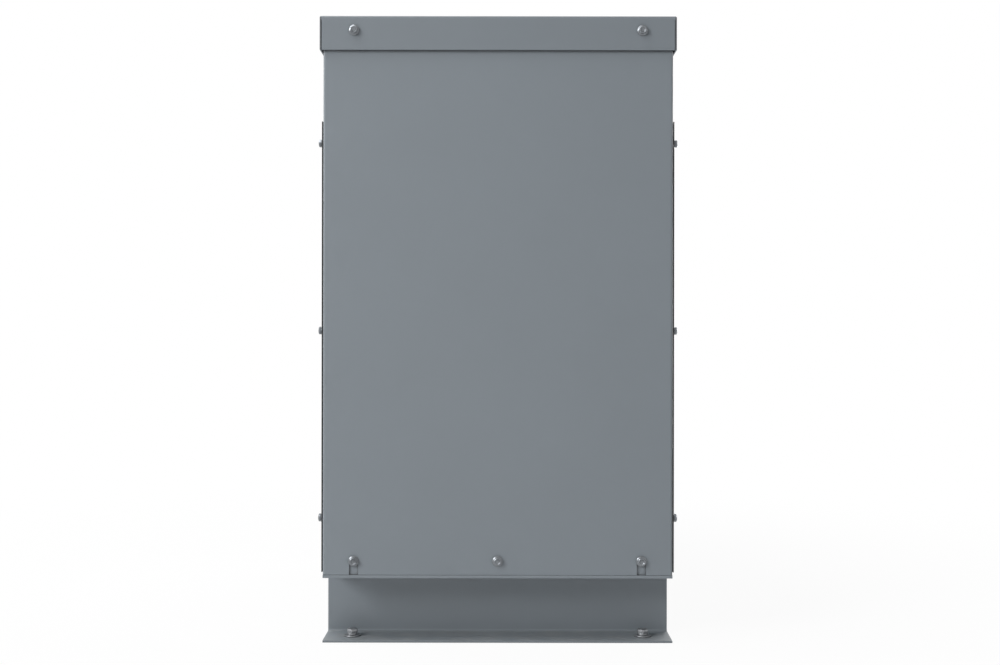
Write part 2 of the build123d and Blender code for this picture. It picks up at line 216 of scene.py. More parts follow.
def with_modifier(obj: Object, kind: str, **settings: Any) -> None:
    """Adds a modifier to an object, sets it and applies it.

    Args:
        obj: The object.
        kind: The modifier's type.
        settings: Its properties.
    """
    choose(obj)
    modifier = obj.modifiers.new(kind.title(), kind)
    for key, value in settings.items():
        setattr(modifier, key, value)
    bpy.ops.object.modifier_apply(modifier=modifier.name)


def hexagon(
    name: str, flats: float, bottom: float, top: float, crown: float = 0.47, dish: float = 0.0
) -> Object:
    """Makes a hexagon head or nut blank whose corners are turned off at the top.

    Args:
        name: The object's name.
        flats: Distance across its flats.
        bottom: Height of its underside.
        top: Height of its top.
        crown: Radius of the flat of its top, as a share of the distance across its flats.
        dish: Depth of the recess in its top, or nothing for a flat one.

    Returns:
        The head.
    """
    corner = flats / 2 / math.cos(HEX_ANGLE)
    outside = corner * CORNER_REACH
    height = top - bottom
    choose()
    bpy.ops.mesh.primitive_cylinder_add(
        vertices=6, radius=corner, depth=height, location=(0, 0, bottom + height / 2)
    )
    head = fresh(name)
    settle(head)
    face = flats * crown
    shoulder = top - (outside - face) * math.tan(HEX_ANGLE)
    outline = [(0, bottom), (outside, bottom), (outside, shoulder), (face, top)]
    if dish:
        outline += [(face * DISH_RIM, top), (face * DISH_FLOOR, top - dish), (0, top - dish)]
    else:
        outline += [(0, top)]
    blank = turned(name + "_blank", outline, 48)
    with_modifier(head, "BOOLEAN", operation="INTERSECT", object=blank, solver="EXACT")
    bpy.data.objects.remove(blank)
    close_up(head)
    return head


def joined(name: str, parts: Sequence[Object]) -> Object:
    """Joins objects into one with its place in its mesh.

    Args:
        name: The joined object's name.
        parts: The objects, of which none is left by itself.

    Returns:
        The joined object.
    """
    choose(*parts)
    if len(parts) > 1:
        bpy.ops.object.join()
    obj = fresh(name)
    settle(obj)
    return obj


def show(obj: Object, finish: Finish) -> None:
    """Gives a finished piece its material, its smooth shading and its place on the transformer.

    Args:
        obj: The piece.
        finish: The finish that it gets.
    """
    choose(obj)
    bpy.ops.object.shade_smooth_by_angle(angle=SMOOTH_ANGLE)
    obj.data.materials.clear()
    obj.data.materials.append(finish.material())
    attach(obj, "root")
    log.info("%s: %d faces", obj.name, len(obj.data.polygons))


# Shader nodes


class Nodes:
    """A node tree under construction."""

    def __init__(self, tree: Tree) -> None:
        """Empties the tree."""
        self.tree = tree
        self.tree.nodes.clear()

    def feed(self, socket: Socket, value: Socket | float | Sequence[float]) -> None:
        """Links a socket to another one, or sets its value.

        Args:
            socket: The input to fill.
            value: An output to link, or a number, vector or colour.
        """
        if isinstance(value, Socket):
            self.tree.links.new(value, socket)
        elif socket.type == "RGBA" and len(value) == 3:
            socket.default_value = (*value, 1.0)
        else:
            socket.default_value = value

    def add(self, kind: str, inputs: dict[str | int, Any] | None = None, **settings: Any) -> Node:
        """Adds a node.

        Args:
            kind: The node's type, without its ShaderNode prefix.
            inputs: What each input is fed with.
            settings: The node's own properties.

        Returns:
            The node.
        """
        node = self.tree.nodes.new(kind if kind.startswith("Node") else "ShaderNode" + kind)
        for key, value in settings.items():
            setattr(node, key, value)
        for key, value in (inputs or {}).items():
            self.feed(node.inputs[key], value)
        return node

    def place(self) -> Socket:
        """Returns the place on the object in the frame's own metres."""
        return self.add("TexCoord").outputs["Object"]

    def noise(self, scale: float | Socket, place: Socket, detail: float, roughness: float = 0.5) -> Socket:
        """Returns a noise pattern from 0 to 1, its scale in repeats a metre."""
        inputs = {"Vector": place, "Scale": scale, "Detail": detail, "Roughness": roughness}
        return self.add("TexNoise", inputs).outputs["Fac"]

    def ranged(self, value: Socket, low: float, high: float, start: float = 0.0, end: float = 1.0) -> Socket:
        """Returns a value clamped between low and high and stretched to run from start to end."""
        inputs = {"Value": value, "From Min": low, "From Max": high, "To Min": start, "To Max": end}
        return self.add("MapRange", inputs, clamp=True).outputs["Result"]

    def math(self, operation: str, a: Socket | float, b: Socket | float = 0.0) -> Socket:
        """Returns the result of a sum on two values."""
        return self.add("Math", {0: a, 1: b}, operation=operation).outputs[0]

    def blend(self, mask: Socket, a: Socket | Colour, b: Socket | Colour, share: float = 1.0) -> Socket:
        """Returns a colour that goes from a to b as the mask rises, or a share of the way to b."""
        shown = self.math("MULTIPLY", mask, share) if share < 1.0 else mask
        return self.add("Mix", {0: shown, 6: a, 7: b}, data_type="RGBA").outputs[2]

    def spread(self, mask: Socket, start: float, end: float) -> Socket:
        """Returns a mask from 0 to 1 stretched to run from start to end."""
        return self.ranged(mask, 0.0, 1.0, start, end)

    def bump(self, height: Socket, depth: float, normal: Socket | None = None) -> Socket:
        """Returns a normal that follows a height pattern this many metres deep, over another one if given."""
        under = {} if normal is None else {"Normal": normal}
        return self.add("Bump", {"Height": height, "Distance": depth, **under}).outputs["Normal"]

    def effect(self, tree: Tree, **inputs: float) -> Node:
        """Places a shared effect, its inputs given by name, and returns its node."""
        return self.add("Group", inputs, node_tree=tree)

    def mask(self, tree: Tree, **inputs: float) -> Socket:
        """Places a shared effect that gives one mask or height, and returns that."""
        return self.effect(tree, **inputs).outputs[0]

    def ended(self, **results: Socket) -> Tree:
        """Ends a shared effect.

        Args:
            results: The masks and heights that it gives, by name.

        Returns:
            The effect's tree.
        """
        for key in results:
            self.tree.interface.new_socket(name=key, in_out="OUTPUT", socket_type="NodeSocketFloat")
        self.add("NodeGroupOutput", results)
        return self.tree


def started(name: str, **inputs: float) -> tuple[Nodes, bpy.types.NodeOutputs]:
    """Starts a node group for an effect that several finishes share.

    Args:
        name: The effect's name.
        inputs: Its numbers by name, each with a usual value.

    Returns:
        The tree's nodes, and the outputs that give the numbers.
    """
    tree = bpy.data.node_groups.new(name, "ShaderNodeTree")
    for key, value in inputs.items():
        socket = tree.interface.new_socket(name=key, in_out="INPUT", socket_type="NodeSocketFloat")
        socket.default_value = value
    nodes = Nodes(tree)
    return nodes, nodes.add("NodeGroupInput").outputs


@cache
def clouds() -> Tree:
    """Builds soft uneven patches: how a coat or a plating varies over a hand's width."""
    nodes, given = started("Uneven patches", Scale=6.0)
    wide = nodes.noise(given["Scale"], nodes.place(), detail=3.0, roughness=0.62)
    return nodes.ended(Patches=nodes.ranged(wide, 0.3, 0.7))


@cache
def orange_peel() -> Tree:
    """Builds the low round swellings of a baked coat."""
    nodes, given = started("Orange peel", Scale=420.0)
    place = nodes.place()
    fine = nodes.noise(given["Scale"], place, detail=1.0, roughness=0.4)
    wider = nodes.math("MULTIPLY", given["Scale"], 0.31)
    coarse = nodes.noise(wider, place, detail=1.0, roughness=0.4)
    return nodes.ended(Height=nodes.math("MULTIPLY", coarse, fine))


@cache
def rubbed_edges() -> Tree:
    """Builds a broken mask along outside edges, where handling thins a coat."""
    nodes, given = started("Rubbed edges", Width=1.2 * MM, Breakup=90.0)
    rounded = nodes.add("Bevel", {"Radius": given["Width"]}, samples=4)
    flat = nodes.add("NewGeometry").outputs["Normal"]
    alike = nodes.add("VectorMath", {0: rounded.outputs[0], 1: flat}, operation="DOT_PRODUCT")
    edge = nodes.ranged(alike.outputs["Value"], 0.985, 0.86)
    patchy = nodes.noise(given["Breakup"], nodes.place(), detail=3.0, roughness=0.6)
    broken = nodes.ranged(patchy, 0.38, 0.62)
    return nodes.ended(Edge=nodes.math("MULTIPLY", edge, broken))


@cache
def settled_dust() -> Tree:
    """Builds a mask for the thin dust on faces that look up."""
    nodes, given = started("Settled dust", Amount=0.3)
    normal = nodes.add("NewGeometry").outputs["Normal"]
    upward = nodes.ranged(nodes.add("SeparateXYZ", {0: normal}).outputs["Z"], 0.55, 0.98)
    patchy = nodes.ranged(nodes.noise(34.0, nodes.place(), detail=5.0, roughness=0.62), 0.3, 0.75)
    lying = nodes.math("MULTIPLY", upward, patchy)
    return nodes.ended(Dust=nodes.math("MULTIPLY", lying, given["Amount"]))


@cache
def corner_painted_shade() -> Tree:
    """Builds a mask of painted shade for gaps, slots and narrow corners, strongest where they are most shut
    in.
    """
    nodes, given = started("Grime in corners", Reach=4.0 * MM, Amount=0.8)
    # Ambient occlusion drives the painted shade: less open sky, more darkening.
    open_sky = nodes.add("AmbientOcclusion", {"Distance": given["Reach"]}, samples=8).outputs["AO"]
    shut_in = nodes.ranged(open_sky, 0.92, 0.3)
    return nodes.ended(Grime=nodes.math("MULTIPLY", shut_in, given["Amount"]))


@cache
def fine_grain() -> Tree:
    """Builds a fine speckle with longer streaks in it, as on plated, rolled or pressed surfaces."""
    nodes, given = started("Fine grain", Scale=900.0, Streak=0.2)
    place = nodes.place()
    speck = nodes.noise(given["Scale"], place, detail=2.0)
    lengths = nodes.add("CombineXYZ", {0: 1.0, 1: given["Streak"], 2: 1.0}).outputs[0]
    stretched = nodes.add("VectorMath", {0: place, 1: lengths}, operation="MULTIPLY").outputs[0]
    streaks = nodes.noise(given["Scale"], stretched, detail=1.0)
    return nodes.ended(Grain=nodes.ranged(nodes.math("ADD", speck, streaks), 0.6, 1.4))


class Across(Enum):
    """The direction in which stacked or wound layers follow each other."""

    X = "X"
    Z = "Z"


@cache
def layers(across: Across) -> Tree:
    """Builds evenly spaced grooves between layers, such as laminations or turns of tape.

    Args:
        across: The direction from layer to layer.

    Returns:
        The effect's tree.
    """
    nodes, given = started(f"Layers across {across.value}", Pitch=MM, Waver=0.2)
    place = nodes.place()
    along = nodes.add("SeparateXYZ", {0: place}).outputs[across.value]
    steps = nodes.math("DIVIDE", along, given["Pitch"])
    wander = nodes.math("MULTIPLY", nodes.noise(22.0, place, detail=2.0), given["Waver"])
    moved = nodes.math("ADD", steps, wander)
    groove = nodes.ranged(nodes.math("PINGPONG", moved, 0.5), 0.0, 0.16)
    own = nodes.add("TexWhiteNoise", {"W": nodes.math("FLOOR", moved)}, noise_dimensions="1D")
    return nodes.ended(Groove=groove, Layer=own.outputs["Value"])


# Finishes


class Surface(Nodes):
    """A material under construction, with one Principled shader."""

    def __init__(self, name: str) -> None:
        """Starts the material.

        Args:
            name: Its name.
        """
        self.material = bpy.data.materials.new(name)
        self.material.use_nodes = True
        super().__init__(self.material.node_tree)
        self.shader = self.add("BsdfPrincipled")
        self.output = self.add("OutputMaterial", {"Surface": self.shader.outputs[0]})

    def plain(self, name: str, value: float) -> None:
        """Sets one of the shader's values that is the same all over."""
        self.shader.inputs[name].default_value = value

    def filled(self, colour: Socket, rough: Socket, normal: Socket) -> Material:
        """Feeds the shader with what varies over the surface.

        Args:
            colour: Its base colour.
            rough: Its roughness.
            normal: Its normal.

        Returns:
            The material.
        """
        for key, value in {"Base Color": colour, "Roughness": rough, "Normal": normal}.items():
            self.feed(self.shader.inputs[key], value)
        return self.material


class Finish(Protocol):
    """A finish that can be put on a node or a piece."""

    name: str

    def material(self) -> Material:
        """Returns the finish as a material, built once."""


def lighter(colour: Colour, share: float) -> Colour:
    """Returns a colour raised, or lowered where the share is negative, by a share of itself."""
    return tuple(min(1.0, channel * (1 + share)) for channel in colour)


def either_side(colour: Colour, share: float) -> tuple[Colour, Colour]:
    """Returns a colour lowered and the same colour raised, by a share of itself."""
    return lighter(colour, -share), lighter(colour, share)


@dataclass(frozen=True)
class PowderCoat:
    """Paint baked on sheet steel: uneven patches, orange peel, thin edges, a little dust and painted shade in
    its corners.
    """

    name: str
    colour: Colour
    gloss: Span = (0.42, 0.54)
    patches: float = 0.02
    dust: float = 0.16
    worn: float = 0.22
    worn_shade: float = 1.1
    dust_rough: float = 0.6
    edge: float = 0.7 * MM
    peel: float = 0.018 * MM
    # How strong and how far the painted shade in corners reaches, and its near-black colour.
    painted_shade: float = 0.95
    painted_shade_reach: float = 7.0 * MM
    edge_band: tuple[float, float, float] | None = None
    lip_shade: float | None = None
    dust_colour: Colour = (0.44, 0.43, 0.41)
    painted_shade_colour: Colour = (0.022, 0.023, 0.024)
    edge_band_colour: Colour = (0.016, 0.017, 0.018)
    lip_shade_colour: Colour = (0.11, 0.12, 0.13)

    @cache
    def material(self) -> Material:
        """Returns the coat, with painted shade in its corners and, where set, darker edges.

        A flat sheet gets a nearly black band outside its middle height, half length and half height, and a
        folded tray gets painted shade on the ends of the lips that lie further out than the given distance.
        """
        nodes = Surface(self.name)
        patches = nodes.mask(clouds(), Scale=5.0)
        colour = nodes.blend(patches, *either_side(self.colour, self.patches))
        thin = nodes.mask(rubbed_edges(), Width=self.edge)
        colour = nodes.blend(thin, colour, lighter(self.colour, self.worn_shade), self.worn)
        dust = nodes.mask(settled_dust(), Amount=self.dust)
        colour = nodes.blend(dust, colour, self.dust_colour)
        # Painted shade: the coat is darkened towards black in gaps, slots and narrow corners, where shade
        # falls.
        painted_shade = nodes.mask(corner_painted_shade(), Reach=self.painted_shade_reach, Amount=self.painted_shade)
        colour = nodes.blend(painted_shade, colour, self.painted_shade_colour)
        # A nearly black band round a flat sheet's edges.
        if self.edge_band:
            colour = nodes.blend(self._edge_band_mask(nodes), colour, self.edge_band_colour)
        # Painted shade on the ends of a folded tray's side lips.
        if self.lip_shade:
            colour = nodes.blend(self._lip_end(nodes), colour, self.lip_shade_colour)
        dusty = nodes.math("MULTIPLY", dust, self.dust_rough)
        rough = nodes.math("ADD", nodes.spread(patches, *self.gloss), dusty)
        peel = nodes.mask(orange_peel(), Scale=420.0)
        rounded = nodes.add("Bevel", {"Radius": self.edge}, samples=4).outputs[0]
        return nodes.filled(colour, rough, nodes.bump(peel, self.peel, rounded))

    def _edge_band_mask(self, nodes: Nodes) -> Socket:
        """Masks a nearly black band round the edges of a flat sheet.

        Args:
            nodes: The material's nodes.

        Returns:
            The mask.
        """
        middle, half_length, half_height = self.edge_band
        place = nodes.add("SeparateXYZ", {0: nodes.place()})
        along = nodes.math("ABSOLUTE", place.outputs["Y"])
        up = nodes.math("ABSOLUTE", nodes.math("SUBTRACT", place.outputs["Z"], middle))
        end = nodes.math("GREATER_THAN", along, half_length)
        return nodes.math("MAXIMUM", end, nodes.math("GREATER_THAN", up, half_height))

    def _lip_end(self, nodes: Nodes) -> Socket:
        """Masks the ends of the lips along a folded tray's sides, which are painted darker as shade.

        Args:
            nodes: The material's nodes.

        Returns:
            The mask.
        """
        place = nodes.add("SeparateXYZ", {0: nodes.place()})
        normal = nodes.add("SeparateXYZ", {0: nodes.add("NewGeometry").outputs["Normal"]})
        out = nodes.math("GREATER_THAN", nodes.math("ABSOLUTE", place.outputs["X"]), self.lip_shade)
        facing = nodes.math("GREATER_THAN", nodes.math("ABSOLUTE", normal.outputs["Y"]), 0.9)
        return nodes.math("MULTIPLY", out, facing)


@dataclass(frozen=True)
class PlatedSteel:
    """A plated or turned metal, partly dull, with painted shade in its corners and darker rubbed edges."""

    name: str
    colour: Colour
    tint: Colour
    gloss: Span = (0.26, 0.4)
    metal: float = 0.7
    rubbed: float = 0.5
    rubbed_shade: float = -0.45
    painted_shade: float = 0.7
    painted_shade_reach: float = 2.0 * MM
    scale: float = 1400.0
    grain: float = 0.004 * MM
    painted_shade_colour: Colour = (0.02, 0.02, 0.021)

    @cache
    def material(self) -> Material:
        """Returns the plating."""
        nodes = Surface(self.name)
        patches = nodes.mask(clouds(), Scale=70.0)
        grain = nodes.mask(fine_grain(), Scale=self.scale, Streak=0.5)
        colour = nodes.blend(patches, self.colour, self.tint)
        edge = nodes.mask(rubbed_edges(), Width=0.25 * MM, Breakup=400.0)
        colour = nodes.blend(edge, colour, lighter(self.colour, self.rubbed_shade), self.rubbed)
        # Painted shade: the plating is darkened in crevices round and under the heads, where shade falls.
        painted_shade = nodes.mask(corner_painted_shade(), Reach=self.painted_shade_reach, Amount=self.painted_shade)
        colour = nodes.blend(painted_shade, colour, self.painted_shade_colour)
        nodes.plain("Metallic", self.metal)
        return nodes.filled(colour, nodes.spread(grain, *self.gloss), nodes.bump(grain, self.grain))


@dataclass(frozen=True)
class CoreSteel:
    """Stacked electrical steel under clear varnish: thin laminations with a few rusty ones."""

    name: str
    colour: Colour = (0.2, 0.2, 0.21)
    rust: Colour = (0.13, 0.075, 0.045)
    gap: Colour = (0.02, 0.02, 0.022)
    pitch: float = 1.1 * MM
    groove: float = 0.12 * MM
    shades: float = 0.3
    rusted: float = 0.45
    metal: Span = (0.75, 0.2)
    gloss: Span = (0.34, 0.55)

    @cache
    def material(self) -> Material:
        """Returns the stacked steel."""
        nodes = Surface(self.name)
        stack = nodes.effect(layers(Across.X), Pitch=self.pitch, Waver=0.05)
        grain = nodes.mask(fine_grain(), Scale=700.0, Streak=0.05)
        sheet = nodes.blend(stack.outputs["Layer"], *either_side(self.colour, self.shades))
        rusty = nodes.ranged(nodes.mask(clouds(), Scale=28.0), 0.72, 1.0)
        colour = nodes.blend(rusty, sheet, self.rust, self.rusted)
        groove = stack.outputs["Groove"]
        colour = nodes.blend(groove, self.gap, colour)
        nodes.feed(nodes.shader.inputs["Metallic"], nodes.spread(rusty, *self.metal))
        return nodes.filled(colour, nodes.spread(grain, *self.gloss), nodes.bump(groove, self.groove))


@dataclass(frozen=True)
class TapedWinding:
    """A winding wrapped in lapped glass tape and dipped in varnish."""

    name: str
    colour: Colour
    varnish: Colour
    tape: float = 19.0 * MM
    lap: float = 0.35 * MM
    weave: float = 0.05 * MM
    shades: float = 0.12
    varnished: float = 0.7
    gloss: Span = (0.48, 0.26)
    coat: float = 0.5
    coat_rough: float = 0.22

    @cache
    def material(self) -> Material:
        """Returns the taped and varnished surface."""
        nodes = Surface(self.name)
        tape = nodes.effect(layers(Across.Z), Pitch=self.tape, Waver=0.35)
        weave = nodes.add("TexVoronoi", {"Vector": nodes.place(), "Scale": 520.0}).outputs["Distance"]
        pooled = nodes.mask(clouds(), Scale=16.0)
        cloth = nodes.blend(tape.outputs["Layer"], *either_side(self.colour, self.shades))
        colour = nodes.blend(pooled, cloth, self.varnish, self.varnished)
        lap = tape.outputs["Groove"]
        colour = nodes.blend(lap, lighter(self.varnish, -0.5), colour)
        nodes.plain("Coat Weight", self.coat)
        nodes.plain("Coat Roughness", self.coat_rough)
        lapped = nodes.bump(lap, self.lap, nodes.bump(weave, self.weave))
        return nodes.filled(colour, nodes.spread(pooled, *self.gloss), lapped)


@dataclass(frozen=True)
class FibreBoard:
    """Pressed insulating board or paper, flecked and slightly warm in colour."""

    name: str
    colour: Colour
    fleck: Colour
    gloss: Span = (0.45, 0.62)
    fibre: float = 260.0
    grain: float = 0.03 * MM
    shades: float = 0.1
    flecked: float = 0.4

    @cache
    def material(self) -> Material:
        """Returns the board."""
        nodes = Surface(self.name)
        grain = nodes.mask(fine_grain(), Scale=self.fibre, Streak=0.12)
        patches = nodes.mask(clouds(), Scale=24.0)
        colour = nodes.blend(patches, *either_side(self.colour, self.shades))
        edge = nodes.mask(rubbed_edges(), Width=0.8 * MM, Breakup=160.0)
        for fibres in (nodes.ranged(grain, 0.55, 0.9), edge):
            colour = nodes.blend(fibres, colour, self.fleck, self.flecked)
        return nodes.filled(colour, nodes.spread(grain, *self.gloss), nodes.bump(grain, self.grain))


@dataclass(frozen=True)
class BusMetal:
    """Rolled copper bar, brushed along its length and starting to tarnish."""

    name: str
    colour: Colour = (0.78, 0.4, 0.26)
    tarnish: Colour = (0.33, 0.16, 0.1)
    tarnished: float = 0.55
    tarnish_rough: float = 0.16
    gloss: Span = (0.2, 0.34)
    grain: float = 0.008 * MM

    @cache
    def material(self) -> Material:
        """Returns the bar metal."""
        nodes = Surface(self.name)
        grain = nodes.mask(fine_grain(), Scale=800.0, Streak=0.08)
        patches = nodes.mask(clouds(), Scale=30.0)
        colour = nodes.blend(patches, self.colour, self.tarnish, self.tarnished)
        nodes.plain("Metallic", 1.0)
        dull = nodes.math("MULTIPLY", patches, self.tarnish_rough)
        rough = nodes.math("ADD", nodes.spread(grain, *self.gloss), dull)
        return nodes.filled(colour, rough, nodes.bump(grain, self.grain))


@dataclass(frozen=True)
class SoftBlack:
    """Black foam or rubber with a pitted skin."""

    name: str
    colour: Colour = (0.014, 0.014, 0.015)
    dust_colour: Colour = (0.2, 0.19, 0.18)
    dust: float = 0.25
    faded: float = 0.8
    gloss: Span = (0.72, 0.88)
    pore: float = 850.0
    depth: float = 0.12 * MM

    @cache
    def material(self) -> Material:
        """Returns the black skin."""
        nodes = Surface(self.name)
        cells = nodes.add("TexVoronoi", {"Vector": nodes.place(), "Scale": self.pore}).outputs["Distance"]
        patches = nodes.mask(clouds(), Scale=40.0)
        dust = nodes.mask(settled_dust(), Amount=self.dust)
        colour = nodes.blend(patches, self.colour, lighter(self.colour, self.faded))
        colour = nodes.blend(dust, colour, self.dust_colour)
        return nodes.filled(colour, nodes.spread(patches, *self.gloss), nodes.bump(cells, self.depth))


PAINT = PowderCoat("housing_paint", (0.214, 0.242, 0.267))
# The rails carry a weaker, narrower painted shade in their corners.
BASE_PAINT = PowderCoat(
    "base_paint", (0.205, 0.231, 0.254), dust=0.3, worn=0.34, patches=0.05, painted_shade=0.7, painted_shade_reach=3.0 * MM
)
CLAMP_PAINT = PowderCoat("clamp_paint", (0.032, 0.034, 0.037), gloss=(0.3, 0.45), dust=0.4, worn=0.5)
# The screws carry a strong, wide painted shade that darkens the ring round each head.
SCREW_ZINC = PlatedSteel(
    "screw_zinc",
    (0.24, 0.257, 0.275),
    (0.163, 0.175, 0.188),
    gloss=(0.24, 0.36),
    metal=0.75,
    painted_shade=1.0,
    painted_shade_reach=4.5 * MM,
)
BOLT_ZINC = PlatedSteel("bolt_zinc", (0.36, 0.37, 0.386), (0.25, 0.258, 0.27))
BRACKET_ZINC = PlatedSteel(
    "bracket_zinc", (0.42, 0.43, 0.44), (0.33, 0.33, 0.32), gloss=(0.32, 0.5), metal=1.0, scale=500.0
)
BRASS = PlatedSteel("stud_brass", (0.62, 0.45, 0.2), (0.48, 0.33, 0.15), metal=1.0)
CORE_STEEL = CoreSteel("core_steel")
OUTER_WRAP = TapedWinding("outer_coil_wrap", (0.42, 0.23, 0.09), (0.2, 0.075, 0.022))
INNER_WRAP = TapedWinding("inner_coil_wrap", (0.5, 0.36, 0.17), (0.3, 0.15, 0.05), tape=25.0 * MM, coat=0.3)
PRESSBOARD = FibreBoard("pressboard", (0.5, 0.37, 0.2), (0.66, 0.54, 0.36))
BOARD_RED = FibreBoard(
    "glass_laminate", (0.34, 0.055, 0.04), (0.46, 0.14, 0.1), gloss=(0.3, 0.46), fibre=420.0
)
BUS = BusMetal("bus_copper")
SEAL_FOAM = SoftBlack("seal_foam")
PAD_RUBBER = SoftBlack("pad_rubber", pore=380.0, depth=0.05 * MM)


def named(*words: Sequence[str]) -> list[str]:
    """Returns every name that takes one word of each list in turn, such as lower_left_clamp."""
    return ["_".join(choice) for choice in product(*words)]


def dress(finish: Finish, *names: str) -> None:
    """Gives CAD nodes a finish.

    Args:
        finish: The finish.
        names: The nodes.
    """
    material = finish.material()
    for name in names:
        node = bpy.data.objects[name]
        for slot in node.material_slots:
            slot.material = material
        if not node.material_slots:
            node.data.materials.append(material)
        log.info("%s: %s", name, finish.name)


# Fasteners


class Fastener(ABC):
    """A screw, bolt or nut that is modelled once and set in many places."""

    ease: float
    finish: Finish
    slot: str

    @abstractmethod
    def model(self) -> Object:
        """Returns the fastener, resting on the origin with its head along +Z."""

    def assembled(self, name: str, parts: Sequence[Object]) -> Object:
        """Joins the fastener's parts and eases its edges.

        Args:
            name: The fastener's name.
            parts: Its parts.

        Returns:
            The fastener that copies are made from.
        """
        master = joined(name, parts)
        with_modifier(
            master, "BEVEL", width=self.ease, segments=2, limit_method="ANGLE", angle_limit=BEVEL_ANGLE
        )
        master[MASTER] = True
        return master

    def fit(self, name: str, places: Sequence[Vector], facing: Facing, turn: float = GOLDEN_TURN) -> None:
        """Sets copies of the fastener, each with its own mesh, and finishes them as one piece.

        Args:
            name: The piece's name.
            places: Where each copy stands.
            facing: The way that the heads point.
            turn: How much further each copy is turned round its own axis than the one before.
        """
        master = self.model()
        made = []
        for count, place in enumerate(places):
            choose(master)
            bpy.ops.object.duplicate(linked=False)
            copy = bpy.context.active_object
            del copy[MASTER]
            own_turn = Matrix.Rotation(count * turn, 4, "Z")
            copy.matrix_world = Matrix.Translation(place) @ facing.turn() @ own_turn
            settle(copy)
            made.append(copy)
        show(joined(name, made), self.finish)


@dataclass(frozen=True)
class FlangeScrew(Fastener):
    """A self-drilling hexagon screw whose head is forged with a coned flange."""

    flats: float = 10.2 * MM
    height: float = 5.8 * MM
    flange: float = 7.7 * MM
    rim: float = 0.9 * MM
    rim_draft: float = 0.98
    cone: float = 2.3 * MM
    crown: float = 0.42
    dish: float = 1.6 * MM
    shank: float = 2.9 * MM
    shank_drop: float = 0.05 * MM
    root: float = 0.8
    length: float = 14.0 * MM
    pitch: float = 1.3 * MM
    ease: float = 0.18 * MM
    finish: Finish = SCREW_ZINC
    slot: str = "zinc_steel"

    @cache
    def model(self) -> Object:
        """Returns the screw, its flange resting on the origin and its shank below it."""
        edge = (self.flange * self.rim_draft, self.rim)
        outline = [(0, 0), (self.flange, 0), edge, (self.flats / 2, self.cone), (0, self.cone)]
        parts = [turned("screw_flange", outline, 40)]
        parts.append(hexagon("screw_head", self.flats, self.rim, self.height, self.crown, self.dish))
        root = self.shank * self.root
        thread = [(0.0, -self.shank_drop), (self.shank, -self.shank_drop)]
        turns = int(self.length / self.pitch) - 2
        for turn in range(turns):
            top = -self.pitch * (turn + 1)
            thread += [(root, top), (self.shank, top - self.pitch / 2)]
        thread += [(root, -self.pitch * (turns + 1)), (0.0, -self.length)]
        parts.append(turned("screw_thread", thread, 14))
        return self.assembled("flange_screw", parts)


@dataclass(frozen=True)
class HexBolt(Fastener):
    """A hexagon bolt or nut with its washers and the end of its shank."""

    name: str
    flats: float
    head: float
    washer: float
    washer_height: float
    shank: float
    below: float = 0.0
    above: float = 0.0
    spring_height: float = 0.0
    washer_bore: float = 1.06
    washer_ease: float = 0.25 * MM
    spring_bore: float = 1.05
    spring_rim: float = 1.02
    spring_sweep: float = math.radians(348)
    tip_ease: float = 0.16
    ease: float = 0.22 * MM
    finish: Finish = BOLT_ZINC
    slot: str = "zinc_steel"

    @cache
    def model(self) -> Object:
        """Returns the bolt, its washer resting on the origin."""
        parts = [self._flat_washer()]
        top = self.washer_height
        if self.spring_height:
            parts.append(self._spring_washer(top))
            top += self.spring_height
        parts.append(hexagon("bolt_head", self.flats, top, top + self.head))
        end = top + (self.head + self.above if self.above else self.head / 2)
        ease = self.shank * self.tip_ease
        outline = [(0, -self.below), (self.shank, -self.below), (self.shank, end - ease)]
        outline += [(self.shank - ease, end), (0, end)]
        parts.append(turned("bolt_shank", outline, 20))
        return self.assembled(self.name, parts)

    def _flat_washer(self) -> Object:
        """Returns the flat washer, its rim eased."""
        inner, outer, top = self.shank * self.washer_bore, self.washer, self.washer_height
        shoulder, ease = outer - self.washer_ease, self.washer_ease
        rim = [(shoulder, 0), (outer, ease), (outer, top - ease), (shoulder, top)]
        return turned("flat_washer", [(inner, 0), *rim, (inner, top), (inner, 0)], 40)

    def _spring_washer(self, bottom: float) -> Object:
        """Makes the split washer under the head: a section spun most of the way round.

        Args:
            bottom: Height of its underside.

        Returns:
            The washer.
        """
        inner, outer = self.shank * self.spring_bore, self.flats / 2 * self.spring_rim
        choose()
        bpy.ops.mesh.primitive_plane_add(size=1)
        washer = fresh("spring_washer")
        with editing(washer):
            bpy.ops.transform.resize(value=(outer - inner, self.spring_height, 1))
            bpy.ops.transform.rotate(
                value=-math.pi / 2, orient_axis="X", orient_type="GLOBAL", center_override=(0, 0, 0)
            )
            bpy.ops.transform.translate(value=((inner + outer) / 2, 0, bottom + self.spring_height / 2))
            bpy.ops.mesh.spin(steps=30, angle=self.spring_sweep, center=(0, 0, 0), axis=(0, 0, 1))
        close_up(washer)
        return washer


def clear_masters() -> None:
    """Removes the fasteners that copies were made from."""
    for obj in [obj for obj in bpy.data.objects if obj.get(MASTER)]:
        bpy.data.objects.remove(obj)


